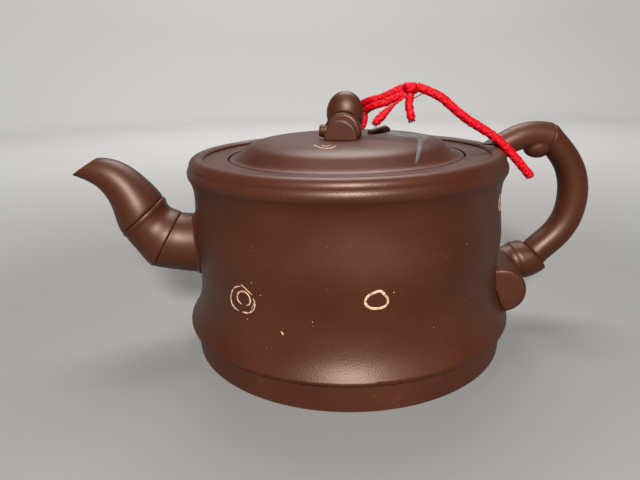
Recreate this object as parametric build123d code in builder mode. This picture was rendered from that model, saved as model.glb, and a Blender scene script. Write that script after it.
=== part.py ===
from build123d import *
import os
from math import cos, pi, radians, sin, tan

# Clay teapot in the manner of cut bamboo, in millimetres.
# The origin is the middle of the foot's underside, on the pot's axis. +Z is up, the handle is
# on +X and the spout on -X.

os.makedirs("parts", exist_ok=True)

# ---- driving dimensions: the pot's body ----
rim_top = 64.8
rim_inner_radius = 46.6
rim_bottom = 58.3
rim_bottom_radius = 51.5
rim_lip_rise = 0.8
inner_radius = 47.0
foot_radius = 53.0
foot_top = 9.3
foot_top_radius = 53.4
foot_edge = 0.4
foot_inner_radius = 44.0
floor_bottom = 4.0
seat_bottom = 57.1
seat_top = 60.3
seat_hole_radius = 33.6
shoulder_top = 63.5
lid_opening_radius = 38.95
luting_depth = 0.5

# The wall's outline, radius and height: the rounded ridge above the foot, the hollow waist that
# flares down to it, and the slight swell above. It ends flush with the rim band.
ridge_round = [(54.2, foot_top), (55.1, 9.8), (55.0, 10.9)]
waist_outline = [
    (55.0, 10.9), (54.0, 12.4), (52.5, 15.2), (51.2, 19.4), (50.5, 24.5), (50.6, 29.0), (51.0, 33.5),
    (51.3, 39.0), (50.8, 45.5), (50.4, 51.5), (50.7, 55.9), (rim_bottom_radius, rim_bottom),
]

# The rim band's outline from its widest line up to the rounded lip and down its inner slope.
rim_belly = [(rim_bottom_radius, rim_bottom), (52.1, 60.0), (51.3, 62.1)]
rim_lip = [(51.3, 62.1), (50.7, 64.0), (49.2, rim_top)]
rim_slope = [(48.2, rim_top), (47.3, 64.6), (rim_inner_radius, rim_top - rim_lip_rise)]

# ---- driving dimensions: the lid ----
lid_radius = 38.6
lid_margin_radius = 38.1
lid_margin_top = 63.5
lid_edge_top = 63.1
lid_rest_gap = 0.05
lid_top = 69.0
lid_flat_radius = 22.0
lid_slope = [(28.5, 68.4), (32.4, 67.0), (34.8, 64.9), (36.5, 63.7)]
lid_bottom = seat_top + lid_rest_gap
flange_outer_radius = 33.1
flange_inner_radius = 30.0
flange_bottom = 50.5
flange_edge = 0.5
lid_hollow_top = 65.2
lid_hollow_edge = (26.5, 64.0)
vent_radius = 1.2
vent_centre = (-6.0, 15.5)

# ---- driving dimensions: the bridge knob and the cord ----
knob_heading = 73.0
knob_foot_radius = 5.2
knob_ring_radius = 5.9
knob_face = 10.0
knob_ring_front = 6.4
knob_ring_back = 3.4
knob_foot_height = 69.9
knob_ring_height = 71.4
knob_foot_edge = 0.4
knob_ring_edge = 1.1
cord_diameter = 2.4
long_tail_diameter = 2.8
short_tail_diameter = 2.6
low_tail_diameter = 2.2
knot_radius = 2.9
corner_share = 0.45

# The knob's hump is an upright egg: half sizes along the knob, across it and upwards. The arm
# springs from it and comes down behind; its stages are distance behind the middle, height, radius.
hump_back = 0.3
hump_height = 76.5
hump_half_sizes = (5.0, 6.1, 7.2)
arm_stages = [
    (-0.8, 71.4, 5.3), (0.6, 75.0, 4.8), (1.6, 78.6, 4.4), (4.2, 78.3, 3.9), (6.6, 76.2, 3.5),
    (8.0, 72.8, 3.4), (8.4, 68.0, 3.5),
]
eye_back = 3.0
eye_height = 71.6
eye_tall = 5.8
eye_wide = 3.6
eye_reach = 15.0
rear_foot_radius = 4.4
rear_foot_height = 1.4
rear_foot_edge = 0.6

# Twigs in the knob's directions: start, end, radius at each.
twig_stages = {
    "knob_twig": ((-5.0, -4.2, 71.3), (-5.4, -7.6, 71.7), 2.4, 1.9),
    "lid_twig": ((7.2, 7.4, 69.3), (15.4, 12.6, 70.1), 1.2, 1.5),
}

twig_cut_rise = 50.0

# Cord routes. The loop's points are rearward, right, height in the knob's directions.
knot_centre = (21.0, -2.9, 84.0)
loop_route = [
    (4.2, 18.4, 84.3), (4.3, 15.0, 82.6), (4.4, 11.6, 81.2), (5.0, 8.4, 80.5), (7.6, 5.4, 79.6),
    (10.2, 3.8, 78.4), (12.2, 0.6, 76.8), (12.0, -3.7, 75.2), (8.0, -5.5, 73.4), (4.2, -4.2, 71.9),
    (3.2, -0.2, 71.4), (3.4, 3.2, 71.4), (5.4, 5.4, 72.0), (6.9, 5.4, 74.6), (6.3, 5.9, 77.0),
    (4.6, 7.4, 78.0), (3.2, 9.6, 78.8), (2.6, 12.2, 79.4), (2.4, 15.0, 80.6), (2.6, 19.0, 82.4),
]
long_tail_route = [
    (22.9, -3.2, 84.4), (26.8, -3.8, 83.0), (31.0, -4.4, 80.8), (34.6, -4.9, 77.6), (38.7, -5.5, 74.1),
    (43.8, -6.2, 71.0), (49.3, -6.8, 67.5), (55.3, -7.6, 61.6), (60.9, -8.6, 54.9),
]
short_tail_route = [(20.6, -3.8, 82.2), (20.0, -4.6, 79.6), (20.2, -5.2, 77.1), (20.8, -5.4, 74.7)]
low_tail_route = [(19.4, -4.2, 82.0), (16.0, -4.6, 79.8), (12.6, -4.6, 77.0), (9.4, -4.2, 73.6)]

# ---- the spout: stations of x, z, rise above level in degrees, outer radius, bore radius ----
outer_column = 3
bore_column = 4
spout_base_stations = [
    (-44.0, 34.6, 3.0, 10.9, 8.4),
    (-51.1, 35.2, 8.0, 10.2, 8.0),
    (-56.5, 35.8, 16.0, 9.9, 7.7),
    (-61.2, 36.9, 30.5, 10.3, 7.5),
]
spout_middle_stations = [
    (-61.2, 36.9, 30.5, 10.4, 7.5),
    (-63.7, 38.7, 33.0, 9.8, 7.2),
    (-65.3, 40.6, 38.6, 9.15, 6.9),
    (-66.7, 42.7, 45.2, 8.95, 6.6),
    (-67.6, 44.6, 51.0, 8.9, 6.3),
]
spout_ring_stations = [
    (-67.6, 44.6, 51.0, 9.15, 6.3),
    (-68.5, 45.7, 51.0, 9.15, 6.2),
]
spout_beak_stations = [
    (-68.5, 45.7, 51.0, 9.0, 6.2),
    (-70.9, 51.2, 53.0, 7.9, 5.6),
    (-74.7, 57.1, 44.0, 6.3, 4.5),
    (-79.0, 60.3, 31.0, 5.1, 3.6),
    (-83.0, 61.5, 17.0, 3.9, 2.4),
    (-89.0, 63.2, 14.0, 2.9, 1.5),
]
spout_stations = {
    "spout_base": spout_base_stations,
    "spout_middle": spout_middle_stations,
    "spout_ring": spout_ring_stations,
    "spout_beak": spout_beak_stations,
}
lip_point = (-80.9, 0, 65.0)
lip_rise = 31.2
joint_groove = 0.15

# ---- the handle: stations of x, z, heading in degrees, radius ----
handle_bar_stations = [
    (47.0, 59.0, 38.0, 4.6),
    (54.8, 64.4, 30.0, 4.3),
    (61.0, 67.0, 9.0, 4.4),
    (67.0, 67.4, -1.0, 4.5),
    (70.3, 66.5, -16.0, 4.95),
]
handle_elbow_stations = [
    (70.3, 66.5, -16.0, 4.8),
    (71.6, 65.8, -24.0, 4.8),
]
handle_bow_stations = [
    (71.6, 65.8, -24.0, 4.6),
    (76.6, 60.0, -51.0, 4.6),
    (80.6, 52.8, -73.0, 4.9),
    (81.8, 45.0, -92.0, 5.1),
    (79.9, 36.0, -117.0, 5.1),
    (75.6, 30.1, -134.0, 5.1),
    (69.2, 24.1, -138.0, 5.2),
]
handle_collar_stations = [
    (69.2, 24.1, -138.0, 6.9),
    (66.0, 22.6, -150.0, 7.2),
    (62.4, 21.8, -160.0, 7.2),
]
handle_root_stations = [
    (62.4, 21.8, -160.0, 6.5),
    (56.0, 20.6, -172.0, 6.1),
    (45.0, 20.0, -180.0, 6.3),
]
handle_stations = {
    "handle_bar": handle_bar_stations,
    "handle_elbow": handle_elbow_stations,
    "handle_bow": handle_bow_stations,
    "handle_collar": handle_collar_stations,
    "handle_root": handle_root_stations,
}
bud_centre = (66.9, 0.0, 63.3)
bud_half_length = 4.9
bud_half_width = 3.9
stub_face = (48.8, -21.5, 19.3)
stub_heading = -103.0
stub_length = 22.0
stub_radius = 7.7
stub_edge = 0.5

# ---- the strainer in the spout's root ----
strainer_radius = 8.3
strainer_thickness = 2.4
strainer_hole_radius = 1.1
strainer_ring_radius = 4.8
strainer_hole_count = 8
strainer_x = -46.6
strainer_setback = 3.0
strainer_reach = 8.0
spout_root_height = 34.8


def tube(stations, radius_column=3):
    """Loft a round tube in the XZ plane through its stations."""
    with BuildPart() as body:
        for station in stations:
            x, z, heading = station[:3]
            sense = 1 if x > 0 else -1
            along = (sense * cos(radians(heading)), 0, sin(radians(heading)))
            with BuildSketch(Plane(origin=(x, 0, z), x_dir=(0, 1, 0), z_dir=along)):
                Circle(station[radius_column])
        loft()
    return body.part


def knob_point(rearward, right, height):
    """A point given in the bridge knob's own directions."""
    heading = radians(knob_heading)
    x = rearward * cos(heading) + right * sin(heading)
    y = rearward * sin(heading) - right * cos(heading)
    return (x, y, height)


def knob_plane(rearward, height):
    """The upright plane across the bridge knob at a distance behind its middle."""
    return Plane(origin=knob_point(rearward, 0, height), x_dir=knob_across, z_dir=knob_along)


def corner_radii(points):
    """Give each corner of a cord's route as large an arc as its two runs allow."""
    radii = []
    for before, here, after in zip(points, points[1:], points[2:]):
        run_in = Vector(*here) - Vector(*before)
        run_out = Vector(*after) - Vector(*here)
        turn = radians(run_in.get_angle(run_out))
        radii.append(corner_share * min(run_in.length, run_out.length) / tan(turn / 2))
    return radii


def cord(name, points, diameter):
    """Sweep a plain round cord along straight runs joined by arcs."""
    radii = corner_radii(points)
    with BuildPart() as body:
        with BuildLine() as route:
            FilletPolyline(*points, radius=radii)
        path = route.wire()
        with BuildSketch(Plane(origin=path @ 0, z_dir=path % 0)):
            Circle(diameter / 2)
        sweep()
    length = path.length
    ideal = length * pi * diameter**2 / 4
    print(name, "length", round(length, 1), "volume ratio", round(body.part.volume / ideal, 4))
    print(name, "radii", [round(radius, 1) for radius in radii])
    return body.part


# ---- the pot's body ----
with BuildPart() as foot_band:
    with BuildSketch(Plane.XZ):
        with BuildLine():
            Polyline((foot_inner_radius, 0), (foot_radius - foot_edge, 0), (foot_radius, foot_edge))
            Line((foot_radius, foot_edge), (foot_top_radius, foot_top))
            Polyline((foot_top_radius, foot_top), (inner_radius, foot_top), (inner_radius, floor_bottom))
            Polyline((inner_radius, floor_bottom), (foot_inner_radius, floor_bottom), (foot_inner_radius, 0))
        make_face()
    revolve(axis=Axis.Z)

with BuildPart() as floor_disc:
    with BuildSketch(Plane.XY.offset(floor_bottom)):
        Circle(inner_radius)
    extrude(amount=foot_top - floor_bottom)

with BuildPart() as body_wall:
    with BuildSketch(Plane.XZ):
        with BuildLine():
            Polyline((inner_radius, rim_bottom), (inner_radius, foot_top), ridge_round[0])
            ThreePointArc(*ridge_round)
            Spline(*waist_outline)
            Line((rim_bottom_radius, rim_bottom), (inner_radius, rim_bottom))
        make_face()
    revolve(axis=Axis.Z)

with BuildPart() as rim_band:
    with BuildSketch(Plane.XZ):
        with BuildLine():
            Line((rim_inner_radius, rim_bottom), (rim_bottom_radius, rim_bottom))
            ThreePointArc(*rim_belly)
            ThreePointArc(*rim_lip)
            Line(rim_lip[-1], rim_slope[0])
            ThreePointArc(*rim_slope)
            Line(rim_slope[-1], (rim_inner_radius, rim_bottom))
        make_face()
    revolve(axis=Axis.Z)

with BuildPart() as shoulder_plate:
    with BuildSketch(Plane.XY.offset(seat_top)):
        Circle(rim_inner_radius)
        Circle(lid_opening_radius, mode=Mode.SUBTRACT)
    extrude(amount=shoulder_top - seat_top)

with BuildPart() as lid_seat:
    with BuildSketch(Plane.XY.offset(seat_bottom)):
        Circle(rim_inner_radius)
        Circle(seat_hole_radius, mode=Mode.SUBTRACT)
    extrude(amount=seat_top - seat_bottom)

# Everything inside the pot's outer surface, to trim what is luted on to it.
with BuildPart() as pot_core:
    add(body_wall.part)
    add(rim_band.part)
    Cylinder(inner_radius + luting_depth, rim_top, align=(Align.CENTER, Align.CENTER, Align.MIN))

# The wall is bored through for the spout, and the strainer stands in the bore.
spout_root = Plane(origin=(strainer_x, 0, spout_root_height), x_dir=(0, 1, 0), z_dir=(-1, 0, 0))
with BuildPart() as bored_wall:
    add(body_wall.part)
    with BuildSketch(spout_root.offset(-strainer_setback)):
        Circle(strainer_radius)
    extrude(amount=strainer_setback + strainer_reach, mode=Mode.SUBTRACT)

with BuildPart() as strainer:
    with BuildSketch(spout_root):
        Circle(strainer_radius)
        Circle(strainer_hole_radius, mode=Mode.SUBTRACT)
        with PolarLocations(strainer_ring_radius, strainer_hole_count):
            Circle(strainer_hole_radius, mode=Mode.SUBTRACT)
    extrude(amount=strainer_thickness)

# ---- the spout ----
lip_normal = (-sin(radians(lip_rise)), 0, cos(radians(lip_rise)))
grooved_ends = {"spout_base": [0], "spout_middle": [-1], "spout_beak": [-1]}
spout_parts = {}
for name, stations in spout_stations.items():
    outside = tube(stations, outer_column)
    passage = tube(stations, bore_column)
    with BuildPart() as spout_piece:
        add(outside)
        ends = spout_piece.faces().filter_by(GeomType.PLANE).sort_by(Axis.X)
        for end in grooved_ends.get(name, []):
            chamfer(ends[end].edges(), length=joint_groove)
        add(passage, mode=Mode.SUBTRACT)
        if name == "spout_base":
            add(pot_core.part, mode=Mode.SUBTRACT)
        if name == "spout_beak":
            split(bisect_by=Plane(origin=lip_point, x_dir=(0, 1, 0), z_dir=lip_normal), keep=Keep.BOTTOM)
    spout_parts[name] = spout_piece.part

# ---- the handle ----
handle_parts = {}
for name, stations in handle_stations.items():
    outside = tube(stations, outer_column)
    with BuildPart() as handle_piece:
        add(outside)
        if name in ("handle_bar", "handle_root"):
            add(pot_core.part, mode=Mode.SUBTRACT)
    handle_parts[name] = handle_piece.part

# The bud in the crook of the elbow is an egg, spun about its own level axis.
bud_plane = Plane(origin=bud_centre, x_dir=(1, 0, 0), z_dir=(0, -1, 0))
with BuildPart() as handle_bud:
    with BuildSketch(bud_plane):
        Ellipse(bud_half_length, bud_half_width)
        Rectangle(2 * bud_half_length, bud_half_width, align=(Align.CENTER, Align.MAX), mode=Mode.SUBTRACT)
    revolve(axis=Axis(bud_centre, (1, 0, 0)))
    add(handle_parts["handle_bar"], mode=Mode.SUBTRACT)
    add(handle_parts["handle_elbow"], mode=Mode.SUBTRACT)
    add(handle_parts["handle_bow"], mode=Mode.SUBTRACT)

stub_normal = (cos(radians(stub_heading)), sin(radians(stub_heading)), 0)
with BuildPart() as handle_stub:
    with BuildSketch(Plane(origin=stub_face, x_dir=(0, 0, 1), z_dir=stub_normal)):
        Circle(stub_radius)
    extrude(amount=-stub_length)
    chamfer(handle_stub.faces().sort_by(Axis.Y)[0].edges(), length=stub_edge)
    add(pot_core.part, mode=Mode.SUBTRACT)
    add(handle_parts["handle_root"], mode=Mode.SUBTRACT)
    add(handle_parts["handle_collar"], mode=Mode.SUBTRACT)

# ---- the lid ----
with BuildPart() as lid_plate:
    with BuildSketch(Plane.XZ):
        with BuildLine():
            Polyline((0, lid_hollow_top), (0, lid_top), (lid_flat_radius, lid_top))
            Spline(
                (lid_flat_radius, lid_top), *lid_slope, (lid_margin_radius, lid_margin_top),
                tangents=[(1, 0), (1, 0)],
            )
            Polyline((lid_margin_radius, lid_margin_top), (lid_radius, lid_edge_top))
            Polyline((lid_radius, lid_edge_top), (lid_radius, lid_bottom))
            Polyline((lid_radius, lid_bottom), (flange_inner_radius, lid_bottom), lid_hollow_edge)
            Line(lid_hollow_edge, (0, lid_hollow_top))
        make_face()
    revolve(axis=Axis.Z)
    with Locations((*vent_centre, lid_top)):
        Hole(vent_radius)

with BuildPart() as lid_flange:
    with BuildSketch(Plane.XY.offset(flange_bottom)):
        Circle(flange_outer_radius)
        Circle(flange_inner_radius, mode=Mode.SUBTRACT)
    extrude(amount=lid_bottom - flange_bottom)
    chamfer(lid_flange.edges().group_by(Axis.Z)[0], length=flange_edge)

# ---- the bridge knob: a cut bamboo stem bent over the middle of the lid ----
knob_along = (cos(radians(knob_heading)), sin(radians(knob_heading)), 0)
knob_across = (sin(radians(knob_heading)), -cos(radians(knob_heading)), 0)
knob_stages = {
    "knob_front_foot": (-knob_face, -knob_ring_front, knob_foot_radius, knob_foot_height, knob_foot_edge),
    "knob_front_ring": (
        -knob_ring_front, -knob_ring_back, knob_ring_radius, knob_ring_height, knob_ring_edge,
    ),
}
knob_parts = {}
for name, (start, end, radius, height, edge) in knob_stages.items():
    with BuildPart() as knob_piece:
        with BuildSketch(knob_plane(start, height)):
            Circle(radius)
        extrude(amount=end - start)
        fillet(knob_piece.faces().sort_by(Axis(knob_point(0, 0, 0), knob_along))[0].edges(), radius=edge)
        split(bisect_by=Plane.XY.offset(lid_top), keep=Keep.TOP)
    knob_parts[name] = knob_piece.part

with BuildPart() as hump:
    Sphere(1)
    scale(by=hump_half_sizes)
hump_plane = Plane(origin=knob_point(hump_back, 0, hump_height), x_dir=knob_along, z_dir=(0, 0, 1))

with BuildPart() as knob_arch:
    with Locations(hump_plane):
        add(hump.part)
    for rearward, height, radius in arm_stages:
        with Locations(knob_point(rearward, 0, height)):
            Sphere(radius)
    for near, far in zip(arm_stages, arm_stages[1:]):
        start = Vector(*knob_point(near[0], 0, near[1]))
        end = Vector(*knob_point(far[0], 0, far[1]))
        with BuildSketch(Plane(origin=start, x_dir=knob_across, z_dir=end - start)):
            Circle(near[2])
        with BuildSketch(Plane(origin=end, x_dir=knob_across, z_dir=end - start)):
            Circle(far[2])
        loft()
    with BuildSketch(Plane(origin=knob_point(eye_back, 0, eye_height), x_dir=(0, 0, 1), z_dir=knob_across)):
        SlotOverall(eye_tall, eye_wide)
    extrude(amount=eye_reach, both=True, mode=Mode.SUBTRACT)
    add(knob_parts["knob_front_ring"], mode=Mode.SUBTRACT)
    add(knob_parts["knob_front_foot"], mode=Mode.SUBTRACT)
    split(bisect_by=Plane.XY.offset(lid_top), keep=Keep.TOP)

with BuildPart() as knob_rear_foot:
    with Locations(knob_point(arm_stages[-1][0], 0, lid_top)):
        Cylinder(rear_foot_radius, rear_foot_height, align=(Align.CENTER, Align.CENTER, Align.MIN))
    fillet(knob_rear_foot.edges().group_by(Axis.Z)[-1], radius=rear_foot_edge)
    add(knob_arch.part, mode=Mode.SUBTRACT)


def twig(start, end, start_radius, end_radius):
    """A short tapering twig that lies on the lid, with a cut end."""
    along = Vector(*end) - Vector(*start)
    with BuildPart() as body:
        with BuildSketch(Plane(origin=start, z_dir=along)):
            Circle(start_radius)
        with BuildSketch(Plane(origin=end, z_dir=along)):
            Circle(end_radius)
        loft()
    return body.part


knob_solids = [*knob_parts.values(), knob_arch.part, knob_rear_foot.part]
twig_parts = {}
for name, (start, end, start_radius, end_radius) in twig_stages.items():
    stem = twig(knob_point(*start), knob_point(*end), start_radius, end_radius)
    with BuildPart() as twig_piece:
        add(stem)
        for neighbour in knob_solids:
            add(neighbour, mode=Mode.SUBTRACT)
        if name == "lid_twig":
            level = Vector(*knob_point(*end)) - Vector(*knob_point(start[0], start[1], end[2]))
            cut = level.normalized() + Vector(0, 0, tan(radians(twig_cut_rise)))
            split(bisect_by=Plane(origin=knob_point(*end), z_dir=cut), keep=Keep.BOTTOM)
        split(bisect_by=Plane.XY.offset(lid_top), keep=Keep.TOP)
    twig_parts[name] = twig_piece.part

# ---- the red cord, tied round the knob ----
cord_parts = {
    "cord_loop": cord("cord_loop", [knob_point(*point) for point in loop_route], cord_diameter),
    "cord_long_tail": cord("cord_long_tail", long_tail_route, long_tail_diameter),
    "cord_short_tail": cord("cord_short_tail", short_tail_route, short_tail_diameter),
    "cord_low_tail": cord("cord_low_tail", low_tail_route, low_tail_diameter),
}
with BuildPart() as cord_knot:
    with Locations(knot_centre):
        Sphere(knot_radius)

# ---- the named pieces ----
pieces = {
    "foot_band": foot_band.part,
    "floor_disc": floor_disc.part,
    "body_wall": bored_wall.part,
    "rim_band": rim_band.part,
    "shoulder_plate": shoulder_plate.part,
    "lid_seat": lid_seat.part,
    "strainer": strainer.part,
    "handle_bud": handle_bud.part,
    "handle_stub": handle_stub.part,
    "lid_plate": lid_plate.part,
    "lid_flange": lid_flange.part,
    "knob_arch": knob_arch.part,
    "knob_rear_foot": knob_rear_foot.part,
    "cord_knot": cord_knot.part,
    **spout_parts,
    **handle_parts,
    **knob_parts,
    **twig_parts,
    **cord_parts,
}
for name, piece in pieces.items():
    piece.label = name
    export_step(piece, f"parts/{name}.step")
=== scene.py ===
import math
import random

import bmesh
import bpy
from mathutils import Matrix, Vector, noise
from mathutils.bvhtree import BVHTree


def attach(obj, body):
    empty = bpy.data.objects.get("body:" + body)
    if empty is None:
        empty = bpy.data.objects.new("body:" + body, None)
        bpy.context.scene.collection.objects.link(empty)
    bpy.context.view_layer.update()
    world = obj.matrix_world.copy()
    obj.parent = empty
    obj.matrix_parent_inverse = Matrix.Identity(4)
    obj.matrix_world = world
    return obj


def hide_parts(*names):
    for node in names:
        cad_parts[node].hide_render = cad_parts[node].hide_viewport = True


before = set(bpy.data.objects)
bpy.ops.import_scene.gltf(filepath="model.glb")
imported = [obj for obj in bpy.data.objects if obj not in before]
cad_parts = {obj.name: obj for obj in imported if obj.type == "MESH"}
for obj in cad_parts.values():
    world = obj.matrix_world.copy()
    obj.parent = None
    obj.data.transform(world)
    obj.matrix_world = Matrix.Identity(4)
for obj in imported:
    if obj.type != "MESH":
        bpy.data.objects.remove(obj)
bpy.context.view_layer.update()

millimetre = 0.001
mergeDistance = 1e-6
knobHeading = math.radians(73.0)  # the way the knob's arch runs, from its cut front end backwards


def millimetres(*numbers):
    return Vector(numbers) * millimetre


def knobPoint(rearward, right, height):
    along = Vector((math.cos(knobHeading), math.sin(knobHeading), 0))
    across = Vector((math.sin(knobHeading), -math.cos(knobHeading), 0))
    return (along * rearward + across * right + Vector((0, 0, height))) * millimetre


cameraValues = {
    "place": (-24.3, -173.1, 89.2),
    "headingDegrees": 4.96,
    "pitchDegrees": 17.76,
    "rollDegrees": -1.5,
    "lens": 29.24,
    "sensor": 36.0,
    "nearest": 0.01,
}


def makeCamera(values=cameraValues):
    heading = math.radians(values["headingDegrees"])
    pitch = math.radians(values["pitchDegrees"])
    roll = math.radians(values["rollDegrees"])
    forward = Vector((
        math.sin(heading) * math.cos(pitch), math.cos(heading) * math.cos(pitch), -math.sin(pitch),
    ))
    level = Vector((math.cos(heading), -math.sin(heading), 0))
    upward = level.cross(forward)
    right = math.cos(roll) * level + math.sin(roll) * upward
    up = math.cos(roll) * upward - math.sin(roll) * level
    data = bpy.data.cameras.new("camera")
    data.lens = values["lens"]
    data.sensor_width = values["sensor"]
    data.clip_start = values["nearest"]
    camera = bpy.data.objects.new("camera", data)
    turn = Matrix((right, up, -forward)).transposed().to_4x4()
    turn.translation = millimetres(*values["place"])
    camera.matrix_world = turn
    bpy.context.collection.objects.link(camera)
    bpy.context.scene.camera = camera


makeCamera()
print("camera placed")


def linkMesh(name, bm, smooth=True):
    bmesh.ops.recalc_face_normals(bm, faces=bm.faces)
    mesh = bpy.data.meshes.new(name)
    bm.to_mesh(mesh)
    bm.free()
    for face in mesh.polygons:
        face.use_smooth = smooth
    piece = bpy.data.objects.new(name, mesh)
    bpy.context.collection.objects.link(piece)
    return piece


def finishPiece(piece, body, nodes=()):
    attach(piece, body)
    if nodes:
        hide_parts(*nodes)
    return piece


def stationMatrix(centre, along, side, tall, wide):
    along = along.normalized()
    side = (side - along * side.dot(along)).normalized()
    over = along.cross(side)
    matrix = Matrix((side * tall, over * wide, along * tall)).transposed().to_4x4()
    matrix.translation = centre
    return matrix


# Extrudes a ring along a path. sizeAt(share) gives the half height along the side direction and
# the half width across it; sides is one direction, or one for each point of the path.
def sweepTube(path, sizeAt, corners, sides=Vector((0.13, 0.31, 0.94)), closed=False, layer=""):
    bm = bmesh.new()
    if layer:
        bm.verts.layers.float.new(layer)
    count = len(path)

    def matrixAt(index):
        before = path[index - 1] if index or closed else path[index]
        after = path[(index + 1) % count] if index < count - 1 or closed else path[index]
        side = sides if isinstance(sides, Vector) else sides[index]
        return stationMatrix(path[index], after - before, side, *sizeAt(index / (count - 1)))

    previous = matrixAt(0)
    start = bmesh.ops.create_circle(bm, cap_ends=False, segments=corners, radius=1.0, matrix=previous)
    rings = [start["verts"]]
    edges = list(bm.edges)
    for index in range(1, count):
        here = matrixAt(index)
        grown = bmesh.ops.extrude_edge_only(bm, edges=edges)["geom"]
        ring = [part for part in grown if isinstance(part, bmesh.types.BMVert)]
        members = set(ring)
        edges = [
            part for part in grown
            if isinstance(part, bmesh.types.BMEdge) and part.verts[0] in members and part.verts[1] in members
        ]
        move = here @ previous.inverted()
        for vert in ring:
            vert.co = move @ vert.co
        rings.append(ring)
        previous = here
    openEdges = [edge for edge in bm.edges if edge.is_boundary]
    if closed:
        bmesh.ops.bridge_loops(bm, edges=openEdges)
    else:
        bmesh.ops.holes_fill(bm, edges=openEdges, sides=0)
    return bm, rings


# The points of a cord's own smooth line, read from its curve.
def readRoute(name, points, closed=False):
    curve = bpy.data.curves.new(name, "CURVE")
    curve.dimensions = "3D"
    curve.resolution_u = 16
    spline = curve.splines.new("NURBS")
    spline.points.add(len(points) - 1)
    for place, point in zip(spline.points, points):
        place.co = (*point, 1)
    spline.order_u = 3
    spline.use_endpoint_u = not closed
    spline.use_cyclic_u = closed
    holder = bpy.data.objects.new(name, curve)
    bpy.context.collection.objects.link(holder)
    mesh = bpy.data.meshes.new_from_object(holder)
    path = [vert.co.copy() for vert in mesh.vertices]
    bpy.data.objects.remove(holder)
    bpy.data.curves.remove(curve)
    bpy.data.meshes.remove(mesh)
    return path


# The same line with its points at even distances, and its length.
def evenPath(path, step):
    distances = [0.0]
    for before, after in zip(path, path[1:]):
        distances.append(distances[-1] + (after - before).length)
    count = max(2, round(distances[-1] / step))
    result = []
    index = 0
    for number in range(count + 1):
        target = distances[-1] * number / count
        while index < len(path) - 2 and distances[index + 1] < target:
            index += 1
        span = distances[index + 1] - distances[index]
        share = (target - distances[index]) / span if span else 0
        result.append(path[index].lerp(path[index + 1], share))
    return result, distances[-1]


# Soft clay: the pieces that were rolled, bent and luted by hand have rounded edges and slightly
# filled joints. Each is a copy of its solid, remeshed finely and smoothed, except where it stands
# against the wall or the lid.
softValues = {
    "wallRadius": 51.2,
    "lidTop": 69.4,
    "factor": 0.5,
    "wobble": 0.05,
    "wobbleScale": 160.0,
}
softPieces = {
    "spoutBase": {"body": "pot", "nodes": ["spout_base"], "voxel": 0.22, "passes": 7, "bead": "spout"},
    "spoutMiddle": {"body": "pot", "nodes": ["spout_middle", "spout_ring"], "voxel": 0.22, "passes": 9},
    "spoutBeak": {"body": "pot", "nodes": ["spout_beak"], "voxel": 0.22, "passes": 14},
    "handleArm": {"body": "pot", "nodes": ["handle_bar", "handle_bud"], "voxel": 0.25, "passes": 9},
    "handleBow": {"body": "pot", "nodes": ["handle_elbow", "handle_bow"], "voxel": 0.26, "passes": 9},
    "handleRoot": {
        "body": "pot", "nodes": ["handle_collar", "handle_root", "handle_stub"], "voxel": 0.28, "passes": 36,
        "bead": "handle",
    },
    "knobFoot": {"body": "lid", "nodes": ["knob_front_foot"], "voxel": 0.16, "passes": 5},
    "knobRing": {"body": "lid", "nodes": ["knob_front_ring"], "voxel": 0.16, "passes": 6},
    "knobArch": {"body": "lid", "nodes": ["knob_arch", "knob_rear_foot"], "voxel": 0.20, "passes": 14},
    "knobTwig": {"body": "lid", "nodes": ["knob_twig"], "voxel": 0.16, "passes": 12},
    "lidTwig": {"body": "lid", "nodes": ["lid_twig"], "voxel": 0.14, "passes": 5},
}
beadValues = {
    "spout": {
        "sense": -1, "height": 35.2, "radius": 10.3, "thickness": 0.6, "wall": 50.9, "steps": 72,
        "corners": 12,
    },
    "handle": {
        "sense": 1, "height": 20.2, "radius": 6.2, "thickness": 0.5, "wall": 51.1, "steps": 60,
        "corners": 12,
    },
}


# A thin roll of clay pressed into the corner between a branch and the wall.
def lutingBead(values):
    path = []
    for number in range(values["steps"]):
        turn = math.tau * number / values["steps"]
        y = values["radius"] * math.sin(turn)
        z = values["height"] + values["radius"] * math.cos(turn)
        x = values["sense"] * math.sqrt(values["wall"] ** 2 - y ** 2)
        path.append(millimetres(x, y, z))
    size = values["thickness"] * millimetre
    return sweepTube(path, lambda share: (size, size), values["corners"], closed=True)[0]


def softClay(name, values, soft=softValues):
    bm = bmesh.new()
    for node in values["nodes"]:
        bm.from_mesh(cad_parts[node].data)
    if "bead" in values:
        bead = lutingBead(beadValues[values["bead"]])
        mesh = bpy.data.meshes.new("bead")
        bead.to_mesh(mesh)
        bead.free()
        bm.from_mesh(mesh)
        bpy.data.meshes.remove(mesh)
    bmesh.ops.remove_doubles(bm, verts=bm.verts, dist=mergeDistance)
    source = linkMesh(name, bm)
    remesh = source.modifiers.new("remesh", "REMESH")
    remesh.mode = "VOXEL"
    remesh.voxel_size = values["voxel"] * millimetre
    bpy.context.view_layer.update()
    fine = bpy.data.meshes.new_from_object(source.evaluated_get(bpy.context.evaluated_depsgraph_get()))
    bpy.data.objects.remove(source)
    bm = bmesh.new()
    bm.from_mesh(fine)
    bpy.data.meshes.remove(fine)
    if values["body"] == "pot":
        edge = soft["wallRadius"] * millimetre
        free = [vert for vert in bm.verts if vert.co.xy.length > edge]
    else:
        edge = soft["lidTop"] * millimetre
        free = [vert for vert in bm.verts if vert.co.z > edge]
    for number in range(values["passes"]):
        bmesh.ops.smooth_vert(
            bm, verts=free, factor=soft["factor"], use_axis_x=True, use_axis_y=True, use_axis_z=True)
    bm.normal_update()
    for vert in free:
        height = noise.noise(vert.co * soft["wobbleScale"]) * soft["wobble"] * millimetre
        vert.co += vert.normal * height
    return finishPiece(linkMesh(name, bm), values["body"], values["nodes"])


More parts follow.
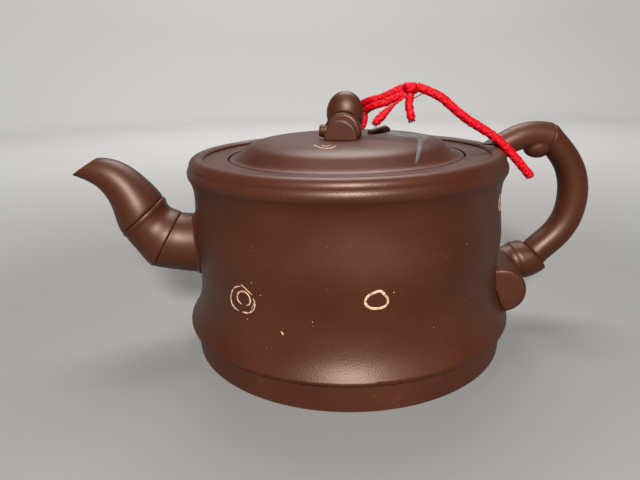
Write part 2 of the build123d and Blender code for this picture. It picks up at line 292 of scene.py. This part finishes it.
clayPieces = [softClay(name, values) for name, values in softPieces.items()]
print("soft clay pieces made")

# Slip decoration: thin raised lines and patches that lie on the wall and on the lid. Points on the
# wall are across and up from the mark's centre; points on the lid are its own x and y.
wallTree = BVHTree.FromObject(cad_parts["body_wall"], bpy.context.evaluated_depsgraph_get())
lidTree = BVHTree.FromObject(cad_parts["lid_plate"], bpy.context.evaluated_depsgraph_get())
markValues = {
    "castFrom": 0.09,
    "height": 0.10,
    "step": 0.12,
    "corners": 8,
    "roughness": 0.28,
    "roughScale": 1400.0,
    "taperFrom": 0.25,
    "taperRate": 6,
    "thinning": 0.5,
}
# Each ring's azimuth in degrees and height in millimetres.
doubleRingCentre = (-133.1, 29.2)
singleRingCentre = (-89.3, 32.7)
sideRingCentre = (-30.0, 50.6)
wallStrokes = [
    {"centre": doubleRingCentre, "width": 0.30, "points": [
        (3.7, 2.1), (2.5, 2.9), (1.2, 3.7), (-0.2, 4.5)]},
    {"centre": doubleRingCentre, "width": 0.46, "points": [
        (-0.3, 3.9), (-1.5, 3.6), (-3.3, 2.7), (-5.0, 0.9), (-5.9, -1.2), (-5.8, -3.0), (-4.5, -4.1),
        (-2.4, -4.5)]},
    {"centre": doubleRingCentre, "width": 0.50, "points": [
        (-1.0, -4.3), (0.9, -4.4), (3.0, -3.2), (4.1, -1.7), (4.3, -0.2), (3.9, 1.1)]},
    {"centre": doubleRingCentre, "width": 0.30, "points": [
        (2.7, -2.5), (3.7, -1.1), (4.4, 0.6)]},
    {"centre": doubleRingCentre, "width": 0.52, "points": [
        (0.6, -1.9), (2.0, -1.5), (2.6, -0.4), (2.7, 0.7), (2.2, 1.8), (1.1, 2.5), (-0.3, 2.3), (-1.7, 1.6),
        (-2.5, 0.6), (-2.8, -0.7), (-2.2, -1.6), (-0.9, -2.0)]},
    {"centre": singleRingCentre, "width": 0.70, "closed": True, "points": [
        (-1.4, -2.4), (-2.7, -1.5), (-3.1, 0.0), (-2.1, 1.5), (-0.4, 2.3), (0.9, 2.7), (2.0, 1.7),
        (3.2, 0.0), (3.1, -1.4), (2.0, -2.4), (0.2, -2.6)]},
    {"centre": sideRingCentre, "width": 0.60, "closed": True, "points": [
        (-1.5, -2.3), (-2.5, -1.0), (-2.7, 0.9), (-1.4, 2.3), (0.5, 2.5), (2.2, 1.4), (2.6, -0.6),
        (1.4, -2.4)]},
]
lidStrokes = {
    "lidRings": [
        {"width": 0.55, "points": [
            (-11.9, -17.4), (-11.3, -21.4), (-9.9, -24.0), (-8.2, -24.8), (-6.7, -23.8), (-5.6, -21.4)]},
        {"width": 0.50, "points": [(-9.8, -18.6), (-9.4, -21.1), (-8.3, -21.9), (-7.0, -19.6)]},
    ],
    "leafVein": [
        {"width": 0.45, "points": [
            (20.4, 5.0), (22.6, -2.0), (23.6, -8.2), (20.9, -18.6), (18.2, -27.0), (16.1, -31.1)]},
    ],
    # A painted reflection: a thin pale grey stroke along the dome's right shoulder, where the dome meets the
    # flat margin.
    "shoulderReflection": [
        {"width": 0.35, "points": [(30.8, 7.5), (33.0, -0.5), (33.3, -7.0), (32.6, -11.6), (31.6, -15.4)]},
    ],
}
# The leaf's two edges, in pairs from its broad end beside the twig to its tip.
leafPairs = [
    ((14.8, 8.4), (16.6, 12.8)), ((15.0, 4.0), (20.6, 10.4)), ((16.2, -0.8), (24.2, 6.0)),
    ((18.4, -4.4), (26.6, 1.0)), ((20.2, -7.8), (27.6, -4.0)), ((21.0, -11.2), (26.0, -8.2)),
    ((20.2, -16.0), (22.6, -14.6)), ((19.2, -19.6), (21.2, -19.0)), ((17.4, -25.4), (19.0, -25.0)),
    ((16.1, -29.2), (17.1, -28.8)), ((15.2, -31.6), (15.5, -31.5)),
]


def onWall(centre, across, up):
    height = (centre[1] + up) * millimetre
    turn = math.radians(centre[0]) + across / softValues["wallRadius"]
    outward = Vector((math.cos(turn), math.sin(turn), 0))
    return wallTree.ray_cast(outward * markValues["castFrom"] + Vector((0, 0, height)), -outward)[:2]


def onLid(x, y):
    above = Vector((x * millimetre, y * millimetre, markValues["castFrom"]))
    return lidTree.ray_cast(above, Vector((0, 0, -1)))[:2]


# A brushed line of slip along spots on the surface, each a place and the surface's normal.
def slipStroke(spots, width, closed):
    path = [place for place, normal in spots]
    normals = [normal for place, normal in spots]

    def sizeAt(share):
        point = path[round(share * (len(path) - 1))]
        rough = 1 + markValues["roughness"] * 2 * noise.noise(point * markValues["roughScale"])
        least, rate = markValues["taperFrom"], markValues["taperRate"]
        taper = 1.0 if closed else min(1.0, least + rate * share, least + rate * (1 - share))
        thinning = markValues["thinning"]
        tall = markValues["height"] * millimetre * (1 - thinning + thinning * taper)
        return (tall, width / 2 * millimetre * rough * taper)

    return sweepTube(path, sizeAt, markValues["corners"], sides=normals, closed=closed)[0]


def smoothSpots(points, finder, closed):
    flat = readRoute("stroke", [(*point, 0) for point in points], closed)
    if closed:
        flat.append(flat[0].copy())
    spots = evenPath(flat, markValues["step"])[0]
    if closed:
        spots.pop()
    return [finder(point.x, point.y) for point in spots]


def joinStrokes(name, strokes, finderFor):
    bm = bmesh.new()
    for stroke in strokes:
        closed = stroke.get("closed", False)
        part = slipStroke(smoothSpots(stroke["points"], finderFor(stroke), closed), stroke["width"], closed)
        mesh = bpy.data.meshes.new("stroke")
        part.to_mesh(mesh)
        part.free()
        bm.from_mesh(mesh)
        bpy.data.meshes.remove(mesh)
    return linkMesh(name, bm)


wallRings = joinStrokes(
    "wallRings", wallStrokes, lambda stroke: lambda across, up: onWall(stroke["centre"], across, up))
finishPiece(wallRings, "pot")
lidMarks = {}
for name, strokes in lidStrokes.items():
    lidMarks[name] = finishPiece(joinStrokes(name, strokes, lambda stroke: onLid), "lid")

leafLook = {"rise": 0.06, "lift": 0.015, "thickness": 0.04, "cutsAlong": 5, "cutsAcross": 8}


# The painted leaf: a thin skin of slip laid on the lid between its two edges.
def makeLeaf(pairs, look=leafLook):
    bm = bmesh.new()
    rows = len(pairs) - 1
    cuts = rows * look["cutsAlong"]
    bmesh.ops.create_grid(bm, x_segments=cuts, y_segments=look["cutsAcross"], size=0.5)
    for vert in bm.verts:
        row = min(rows - 1, int((vert.co.x + 0.5) * rows))
        along = (vert.co.x + 0.5) * rows - row
        across = vert.co.y + 0.5
        left = Vector(pairs[row][0]).lerp(Vector(pairs[row + 1][0]), along)
        right = Vector(pairs[row][1]).lerp(Vector(pairs[row + 1][1]), along)
        spot = left.lerp(right, across)
        place, normal = onLid(spot.x, spot.y)
        rise = look["lift"] + look["rise"] * (1 - (2 * across - 1) ** 2)
        vert.co = place + normal * rise * millimetre
    bmesh.ops.recalc_face_normals(bm, faces=bm.faces)
    bmesh.ops.solidify(bm, geom=bm.faces[:], thickness=look["thickness"] * millimetre)
    return linkMesh("lidLeaf", bm)


lidLeaf = finishPiece(makeLeaf(leafPairs), "lid")

# Small chips and grains in the wall: azimuth, height, size.
grainValues = [
    (-118.4, 21.6, 0.95), (-118.9, 22.0, 0.55), (-128.6, 35.1, 0.42), (-125.6, 31.8, 0.38),
    (-132.1, 23.2, 0.40), (-84.1, 34.5, 0.40), (-108.5, 26.1, 0.30), (-108.4, 24.9, 0.28),
    (-58.0, 44.0, 0.26), (-40.0, 57.0, 0.35), (-97.0, 47.5, 0.24), (-70.0, 22.0, 0.26),
]
grainLook = {
    "seed": 7,
    "narrowest": 0.5,
    "widest": 0.8,
    "depth": 0.16,
    "roughScale": 2500,
    "roughness": 0.12,
}


def makeGrains(values=grainValues, look=grainLook):
    generator = random.Random(look["seed"])
    noise.seed_set(look["seed"])
    bm = bmesh.new()
    for azimuth, height, size in values:
        place, normal = onWall((azimuth, height), 0, 0)
        turn = normal.to_track_quat("Z", "Y").to_matrix().to_4x4()
        matrix = Matrix.Translation(place) @ turn @ Matrix.Rotation(generator.uniform(0, math.tau), 4, "Z")
        wide = size * generator.uniform(look["narrowest"], look["widest"])
        squash = Matrix.Diagonal((size * millimetre, wide * millimetre, look["depth"] * millimetre, 1))
        grain = bmesh.ops.create_icosphere(bm, subdivisions=2, radius=0.5, matrix=matrix @ squash)["verts"]
        for vert in grain:
            rough = noise.noise_vector(vert.co * look["roughScale"])
            vert.co += rough * size * look["roughness"] * millimetre
    return finishPiece(linkMesh("wallGrains", bm), "pot")


wallGrains = makeGrains()
print("slip decoration made")

cordValues = {
    "loopDiameter": 2.4,
    "longDiameter": 2.8,
    "shortDiameter": 2.6,
    "lowDiameter": 2.2,
    "corners": 24,
    "step": 0.16,
    "weaveHeight": 0.22,
    "weavePitch": 2.2,  # length of one full turn of the strands, in diameters
    "weaveStrands": 4,
    "weaveMiddle": 0.55,
    "fuzz": 0.22,
    "fuzzScale": 1300.0,
    "loop": [
        (4.2, 18.4, 84.3), (4.3, 15.0, 82.6), (4.4, 11.6, 81.2), (5.0, 8.4, 80.5), (7.6, 5.4, 79.6),
        (10.2, 3.8, 78.4), (12.2, 0.6, 76.8), (12.0, -3.7, 75.2), (8.0, -5.5, 73.4), (4.2, -4.2, 71.9),
        (3.2, -0.2, 71.4), (3.4, 3.2, 71.4), (5.4, 5.4, 72.0), (6.9, 5.4, 74.6), (6.3, 5.9, 77.0),
        (4.6, 7.4, 78.0), (3.2, 9.6, 78.8), (2.6, 12.2, 79.4), (2.4, 15.0, 80.6), (2.6, 19.0, 82.4),
    ],
    "longTail": [
        (22.9, -3.2, 84.4), (26.8, -3.8, 83.0), (31.0, -4.4, 80.8), (34.6, -4.9, 77.6), (38.7, -5.5, 74.1),
        (43.8, -6.2, 71.0), (49.3, -6.8, 67.5), (55.3, -7.6, 61.6), (60.9, -8.6, 54.9),
    ],
    "shortTail": [(20.6, -3.8, 82.2), (20.0, -4.6, 79.6), (20.2, -5.2, 77.1), (20.8, -5.4, 74.7)],
    "lowTail": [(19.4, -4.2, 82.0), (16.0, -4.6, 79.8), (12.6, -4.6, 77.0), (9.4, -4.2, 73.6)],
    "knot": (21.0, -2.9, 84.0),
}


# The low tail hangs by a few threads and opens into a brush at its cut end.
brushValues = {"thin": 0.36, "spread": 0.84, "opensFrom": 0.35, "opensOver": 0.4}


def brushEnd(share):
    opened = (share - brushValues["opensFrom"]) / brushValues["opensOver"]
    return brushValues["thin"] + brushValues["spread"] * min(1.0, max(0.0, opened))


def sameWidth(share):
    return 1.0


# A woven cord: a round tube whose strands stand out where they cross over each other. The weave's
# height is kept as an attribute, so that the hollows between strands can be darkened as painted shade.
def wovenCord(name, points, diameter, nodes, sizeAt=sameWidth, values=cordValues):
    path, length = evenPath(readRoute(name, points), values["step"] * millimetre)
    radius = diameter / 2 * millimetre
    bm, rings = sweepTube(
        path, lambda share: (radius * sizeAt(share), radius * sizeAt(share)), values["corners"],
        layer="weave")
    weave = bm.verts.layers.float["weave"]
    turns = length / (values["weavePitch"] * diameter * millimetre)
    for index, ring in enumerate(rings):
        share = index / (len(rings) - 1)
        for number, vert in enumerate(ring):
            angle = number / len(ring) * math.tau
            left = math.cos(values["weaveStrands"] * angle / 2 - turns * share * math.tau)
            right = math.cos(values["weaveStrands"] * angle / 2 + turns * share * math.tau)
            crossing = abs(left * right) ** 0.5
            vert[weave] = crossing
            height = (crossing - values["weaveMiddle"]) * values["weaveHeight"]
            height += noise.noise(vert.co * values["fuzzScale"]) * values["fuzz"]
            vert.co += (vert.co - path[index]).normalized() * height * millimetre
    piece = finishPiece(linkMesh(name, bm), "lid", nodes)
    return piece, path, length


frayValues = {
    "threads": 60,
    "rootFrom": 0.1,
    "rootTo": 0.85,
    "splay": 0.55,
    "shortest": 0.4,
    "buried": 0.35,
    "corners": 5,
    "rootRadius": 0.16,
    "tipRadius": 0.05,
}


# Thin loose threads that stand out from a cord's cut end. Radius and reach are in millimetres.
def frayedEnd(name, path, radius, reach, seed, values=frayValues):
    generator = random.Random(seed)
    bm = bmesh.new()
    tip = path[-1]
    along = (path[-1] - path[-4]).normalized()
    for number in range(values["threads"]):
        stray = Vector([generator.uniform(-1, 1) for axis in range(3)])
        side = (stray - along * stray.dot(along)).normalized()
        root = tip + side * radius * millimetre * generator.uniform(values["rootFrom"], values["rootTo"])
        heading = (along + side * generator.uniform(0.0, values["splay"])).normalized()
        length = reach * millimetre * generator.uniform(values["shortest"], 1.0)
        turn = heading.to_track_quat("Z", "Y").to_matrix().to_4x4()
        matrix = Matrix.Translation(root + heading * length * values["buried"]) @ turn
        bmesh.ops.create_cone(
            bm, cap_ends=True, segments=values["corners"], radius1=values["rootRadius"] * millimetre,
            radius2=values["tipRadius"] * millimetre, depth=length, matrix=matrix)
    return finishPiece(linkMesh(name, bm), "lid")


cordLoop, loopPath, loopLength = wovenCord(
    "cordLoop", [knobPoint(*point) for point in cordValues["loop"]], cordValues["loopDiameter"],
    ["cord_loop"])
longTail, longPath, longLength = wovenCord(
    "cordLongTail", [millimetres(*point) for point in cordValues["longTail"]], cordValues["longDiameter"],
    ["cord_long_tail"])
shortTail, shortPath = wovenCord(
    "cordShortTail", [millimetres(*point) for point in cordValues["shortTail"]], cordValues["shortDiameter"],
    ["cord_short_tail"])[:2]
lowTail, lowPath = wovenCord(
    "cordLowTail", [millimetres(*point) for point in cordValues["lowTail"]], cordValues["lowDiameter"],
    ["cord_low_tail"], brushEnd)[:2]
tufts = [
    frayedEnd("longTailFray", longPath, radius=1.3, reach=1.0, seed=1),
    frayedEnd("shortTailFray", shortPath, radius=1.25, reach=1.8, seed=2),
    frayedEnd("lowTailFray", lowPath, radius=1.3, reach=1.6, seed=3),
]

knotValues = {
    "scale": 0.60,
    "lean": 1.3,
    "thickness": 1.08,
    "steps": 130,
    "corners": 16,
    "weaveTurn": 0.35,
    "weaveMiddle": 0.6,
    "weaveHeight": 0.12,
    "fuzz": 0.10,
    "fuzzScale": 1500,
    "loosePoints": [(20.0, -5.2, 80.4), (21.6, -5.4, 80.9), (23.4, -5.0, 81.9), (25.2, -4.4, 82.6)],
    "looseRadius": 0.17,
    "looseStep": 0.3,
    "looseCorners": 8,
}


# An overhand knot pulled tight, as a thick tube along a trefoil.
def makeKnot(values=knotValues):
    centre = millimetres(*cordValues["knot"])
    path = []
    for number in range(values["steps"]):
        turn = number / values["steps"] * math.tau
        point = Vector((
            math.sin(turn) + 2 * math.sin(2 * turn), math.cos(turn) - 2 * math.cos(2 * turn),
            -values["lean"] * math.sin(3 * turn),
        ))
        path.append(centre + point * values["scale"] * millimetre)
    size = values["thickness"] * millimetre
    bm, rings = sweepTube(
        path, lambda share: (size, size), values["corners"], sides=Vector((0, 0, 1)), closed=True,
        layer="weave")
    weave = bm.verts.layers.float["weave"]
    for index, ring in enumerate(rings):
        for number, vert in enumerate(ring):
            angle = 2 * math.tau * number / len(ring) + index * values["weaveTurn"]
            vert[weave] = abs(math.cos(angle)) ** 0.5
            height = (vert[weave] - values["weaveMiddle"]) * values["weaveHeight"]
            height += noise.noise(vert.co * values["fuzzScale"]) * values["fuzz"]
            vert.co += (vert.co - path[index]).normalized() * height * millimetre
    return finishPiece(linkMesh("cordKnot", bm), "lid", ["cord_knot"])


cordKnot = makeKnot()


def makeLooseThread(values=knotValues):
    route = readRoute("looseThread", [millimetres(*point) for point in values["loosePoints"]])
    path = evenPath(route, values["looseStep"] * millimetre)[0]
    size = values["looseRadius"] * millimetre
    bm = sweepTube(path, lambda share: (size, size), values["looseCorners"])[0]
    return finishPiece(linkMesh("looseThread", bm), "lid")


looseThread = makeLooseThread()
print("cord made")


def newMaterial(name):
    material = bpy.data.materials.new(name)
    material.use_nodes = True
    nodes = material.node_tree.nodes
    return material, nodes, material.node_tree.links, nodes["Principled BSDF"]


def addNoise(nodes, links, place, scale, detail, roughness=0.5):
    texture = nodes.new("ShaderNodeTexNoise")
    texture.inputs["Scale"].default_value = scale
    texture.inputs["Detail"].default_value = detail
    texture.inputs["Roughness"].default_value = roughness
    links.new(place, texture.inputs["Vector"])
    return texture.outputs["Fac"]


def addRamp(nodes, links, source, stops):
    ramp = nodes.new("ShaderNodeValToRGB")
    ramp.color_ramp.elements[0].position = stops[0][0]
    ramp.color_ramp.elements[0].color = (*stops[0][1], 1)
    ramp.color_ramp.elements[1].position = stops[-1][0]
    ramp.color_ramp.elements[1].color = (*stops[-1][1], 1)
    for position, colour in stops[1:-1]:
        ramp.color_ramp.elements.new(position).color = (*colour, 1)
    links.new(source, ramp.inputs["Fac"])
    return ramp.outputs["Color"]


def addMath(nodes, links, operation, *values):
    step = nodes.new("ShaderNodeMath")
    step.operation = operation
    for socket, value in zip(step.inputs, values):
        if isinstance(value, (int, float)):
            socket.default_value = value
        else:
            links.new(value, socket)
    return step.outputs[0]


def addRange(nodes, links, source, low, high, toLow, toHigh):
    mapRange = nodes.new("ShaderNodeMapRange")
    for label, value in (("From Min", low), ("From Max", high), ("To Min", toLow), ("To Max", toHigh)):
        mapRange.inputs[label].default_value = value
    links.new(source, mapRange.inputs["Value"])
    return mapRange.outputs["Result"]


def addBump(nodes, links, height, strength, distance, shader):
    bump = nodes.new("ShaderNodeBump")
    bump.inputs["Strength"].default_value = strength
    bump.inputs["Distance"].default_value = distance
    links.new(height, bump.inputs["Height"])
    links.new(bump.outputs["Normal"], shader.inputs["Normal"])


clayValues = {
    "dark": (0.0172, 0.0037, 0.0014),
    "mid": (0.0202, 0.0047, 0.0018),
    "light": (0.0255, 0.0066, 0.0029),
    "roughness": (0.40, 0.48),
    "lensing": 1.30,
    "sheenTint": (1.0, 0.74, 0.60),
    "cloudScale": 38.0,
    "grainScale": 2400.0,
    "pitScale": 620.0,
    "fleckScale": 900.0,
    "fleckColour": (0.080, 0.038, 0.024),
    "fleckShow": 0.35,
    "fleckReach": 0.22,
    "patchScale": 260.0,
    "patchRange": (0.50, 0.72),
    "grainShare": 0.5,
    "toneStops": ((0.45, "dark"), (0.74, "mid"), (1.0, "light")),
    "pitReach": 0.13,
    "pitDepth": 0.30,
    "bump": 0.16,
    "bumpDepth": 0.00035,
}


# Fine-grained clay fired a dark purple-brown: cloudy tone, close grain, pin-holes and pale flecks.
def clayMaterial(name, values=clayValues, lift=1.0, rougher=0.0):
    material, nodes, links, shader = newMaterial(name)
    place = nodes.new("ShaderNodeTexCoord").outputs["Object"]
    cloud = addNoise(nodes, links, place, values["cloudScale"], 4)
    grain = addNoise(nodes, links, place, values["grainScale"], 3)
    tone = addMath(nodes, links, "MULTIPLY_ADD", grain, values["grainShare"], cloud)
    stops = [
        (position, [part * lift for part in values[shade]]) for position, shade in values["toneStops"]
    ]
    colour = addRamp(nodes, links, tone, stops)
    flecks = nodes.new("ShaderNodeTexVoronoi")
    flecks.inputs["Scale"].default_value = values["fleckScale"]
    links.new(place, flecks.inputs["Vector"])
    patches = addNoise(nodes, links, place, values["patchScale"], 2)
    reach = addRange(nodes, links, patches, *values["patchRange"], 0.0, values["fleckReach"])
    isFleck = addMath(nodes, links, "LESS_THAN", flecks.outputs["Distance"], reach)
    blend = nodes.new("ShaderNodeMix")
    blend.data_type = "RGBA"
    links.new(addMath(nodes, links, "MULTIPLY", isFleck, values["fleckShow"]), blend.inputs["Factor"])
    links.new(colour, blend.inputs["A"])
    blend.inputs["B"].default_value = (*values["fleckColour"], 1)
    links.new(blend.outputs["Result"], shader.inputs["Base Color"])
    low, high = values["roughness"]
    rough = addRange(nodes, links, cloud, 0.3, 0.7, low + rougher, high + rougher)
    links.new(rough, shader.inputs["Roughness"])
    pits = nodes.new("ShaderNodeTexVoronoi")
    pits.inputs["Scale"].default_value = values["pitScale"]
    links.new(place, pits.inputs["Vector"])
    hollow = addRange(nodes, links, pits.outputs["Distance"], 0.0, values["pitReach"], 0.0, 1.0)
    height = addMath(nodes, links, "MULTIPLY_ADD", hollow, values["pitDepth"], grain)
    addBump(nodes, links, height, values["bump"], values["bumpDepth"], shader)
    shader.inputs["IOR"].default_value = values["lensing"]
    shader.inputs["Specular Tint"].default_value = (*values["sheenTint"], 1)
    return material


slipLook = {
    "streakScale": 1300.0,
    "streakRoughness": 0.6,
    "edge": 0.14,
    "roughness": 0.6,
    "lensing": 1.22,
    "bump": 0.3,
    "bumpDepth": 0.0002,
}


# Slip brushed on thinly, so that the clay shows through where the brush ran dry.
def slipMaterial(name, thick, thin, cover, values=slipLook):
    material, nodes, links, shader = newMaterial(name)
    place = nodes.new("ShaderNodeTexCoord").outputs["Object"]
    streaks = addNoise(nodes, links, place, values["streakScale"], 4, values["streakRoughness"])
    colour = addRamp(nodes, links, streaks, [(cover, thin), (cover + values["edge"], thick)])
    links.new(colour, shader.inputs["Base Color"])
    shader.inputs["Roughness"].default_value = values["roughness"]
    shader.inputs["IOR"].default_value = values["lensing"]
    addBump(nodes, links, streaks, values["bump"], values["bumpDepth"], shader)
    return material


cordLook = {
    # hollow: painted shade, a darker red for the hollows between the strands
    "hollow": (0.070, 0.0001, 0.0010),
    "body": (0.205, 0.0002, 0.0024),
    "glint": (0.34, 0.003, 0.010),
    "fibreScale": 2600.0,
    "glintScale": 1500.0,
    "glintRange": (0.56, 0.66),
    "glintShow": 0.8,
    "weaveShare": 0.55,
    "hollowShadeRange": (0.45, 0.72),
    "roughness": (0.60, 0.28),
    "bump": 0.6,
    "bumpDepth": 0.0003,
    "specular": 0.07,
}


# Dyed braid. Noise spots of brighter red in its colour are painted glints, and they are also glossier.
def cordMaterial(name, values=cordLook):
    material, nodes, links, shader = newMaterial(name)
    place = nodes.new("ShaderNodeTexCoord").outputs["Object"]
    fibre = addNoise(nodes, links, place, values["fibreScale"], 4, 0.6)
    spark = addNoise(nodes, links, place, values["glintScale"], 2)
    weave = nodes.new("ShaderNodeAttribute")
    weave.attribute_name = "weave"
    # Painted shade: where the weave sinks between strands, the colour goes towards the dark hollow red.
    depth = addMath(nodes, links, "MULTIPLY_ADD", weave.outputs["Fac"], values["weaveShare"], fibre)
    shadedHollowEnd, high = values["hollowShadeRange"]
    colour = addRamp(nodes, links, depth, [(shadedHollowEnd, values["hollow"]), (high, values["body"])])
    # Painted glints: brighter red laid into the colour at noise spots.
    glint = addRange(nodes, links, spark, *values["glintRange"], 0.0, values["glintShow"])
    blend = nodes.new("ShaderNodeMix")
    blend.data_type = "RGBA"
    links.new(glint, blend.inputs["Factor"])
    links.new(colour, blend.inputs["A"])
    blend.inputs["B"].default_value = (*values["glint"], 1)
    links.new(blend.outputs["Result"], shader.inputs["Base Color"])
    links.new(addRange(nodes, links, spark, 0.4, 0.65, *values["roughness"]), shader.inputs["Roughness"])
    addBump(nodes, links, fibre, values["bump"], values["bumpDepth"], shader)
    shader.inputs["Specular IOR Level"].default_value = values["specular"]
    return material


def dress(piece, material):
    piece.data.materials.clear()
    piece.data.materials.append(material)


clay = clayMaterial("purpleClay")
rawClay = clayMaterial("cutClay", lift=1.12, rougher=0.08)
paleSlip = slipMaterial("paleSlip", (0.27, 0.165, 0.105), (0.10, 0.046, 0.027), 0.36)
greySlip = slipMaterial("greySlip", (0.055, 0.053, 0.052), (0.034, 0.027, 0.024), 0.42)
blueSlip = slipMaterial("blueSlip", (0.008, 0.016, 0.034), (0.016, 0.016, 0.020), 0.40)
redCord = cordMaterial("redCord")
for name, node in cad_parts.items():
    if name.startswith("cord_"):
        dress(node, redCord)
    elif name in ("foot_band", "floor_disc", "strainer", "lid_flange", "lid_seat"):
        dress(node, rawClay)
    else:
        dress(node, clay)
for piece in clayPieces:
    dress(piece, clay)
for piece in (cordLoop, longTail, shortTail, lowTail, cordKnot, looseThread, *tufts):
    dress(piece, redCord)
dress(wallRings, paleSlip)
dress(wallGrains, paleSlip)
dress(lidMarks["lidRings"], paleSlip)
dress(lidMarks["leafVein"], blueSlip)
# The grey slip on the shoulder stroke is a painted reflection.
dress(lidMarks["shoulderReflection"], greySlip)
dress(lidLeaf, greySlip)
print("materials made")

stageValues = {
    "floorRadius": 0.9,
    "sweepRadius": 0.5,
    "sweepSteps": 10,
    "roundSteps": 96,
    # Painted shade on the floor: darkest near the middle, fading out to the pale floor colour further away.
    "nearShadeColour": (0.090, 0.087, 0.081),
    "farColour": (0.42, 0.412, 0.398),
    "nearShadeRadius": 0.14,
    "farRadius": 1.0,
    "floorRoughness": 0.8,
    "worldColour": (0.96, 0.97, 1.0, 1),
    "worldStrength": 0.07,
}
lampValues = {
    "keyLamp": {"place": (-0.05, -0.53, 0.38), "target": (0, 0, 0.04), "size": 0.14, "power": 17.5},
    "rimLamp": {"place": (0.06, 0.34, 0.66), "target": (0, 0, 0.04), "size": 0.50, "power": 7.5},
    "backLamp": {"place": (0, 0.30, 0.75), "target": (0, 1.20, 0.25), "size": 0.50, "power": 11.0},
}


# A round floor that curves up into its own backdrop.
def makeStage(values=stageValues):
    bm = bmesh.new()
    profile = [bm.verts.new((0.0, 0, 0)), bm.verts.new((values["floorRadius"], 0, 0))]
    for number in range(1, values["sweepSteps"] + 1):
        turn = number / values["sweepSteps"] * math.pi / 2
        profile.append(bm.verts.new((
            values["floorRadius"] + values["sweepRadius"] * math.sin(turn), 0,
            values["sweepRadius"] * (1 - math.cos(turn)),
        )))
    edges = [bm.edges.new(pair) for pair in zip(profile, profile[1:])]
    bmesh.ops.spin(
        bm, geom=profile + edges, cent=(0, 0, 0), axis=(0, 0, 1), angle=math.tau,
        steps=values["roundSteps"], use_merge=True)
    bmesh.ops.remove_doubles(bm, verts=bm.verts, dist=mergeDistance)
    floor = linkMesh("floor", bm)
    material, nodes, links, shader = newMaterial("paleFloorPaintedShade")
    place = nodes.new("ShaderNodeTexCoord").outputs["Object"]
    distance = nodes.new("ShaderNodeVectorMath")
    distance.operation = "LENGTH"
    links.new(place, distance.inputs[0])
    # Painted shade: the floor's colour is dark near the pot and lightens with distance.
    share = addRange(
        nodes, links, distance.outputs["Value"], values["nearShadeRadius"], values["farRadius"], 0.0, 1.0)
    colour = addRamp(nodes, links, share, [(0.0, values["nearShadeColour"]), (1.0, values["farColour"])])
    links.new(colour, shader.inputs["Base Color"])
    shader.inputs["Roughness"].default_value = values["floorRoughness"]
    dress(floor, material)


def makeLamp(name, values):
    data = bpy.data.lights.new(name, "AREA")
    data.shape = "DISK"
    data.size = values["size"]
    data.energy = values["power"]
    lamp = bpy.data.objects.new(name, data)
    lamp.location = values["place"]
    away = Vector(values["place"]) - Vector(values["target"])
    lamp.rotation_euler = away.to_track_quat("Z", "Y").to_euler()
    bpy.context.collection.objects.link(lamp)


def makeWorld(values=stageValues):
    world = bpy.data.worlds.new("studio")
    world.use_nodes = True
    backdrop = world.node_tree.nodes["Background"]
    backdrop.inputs["Color"].default_value = values["worldColour"]
    backdrop.inputs["Strength"].default_value = values["worldStrength"]
    bpy.context.scene.world = world


makeStage()
for name, values in lampValues.items():
    makeLamp(name, values)
makeWorld()
bpy.context.scene.view_settings.view_transform = "Standard"
print("stage set")
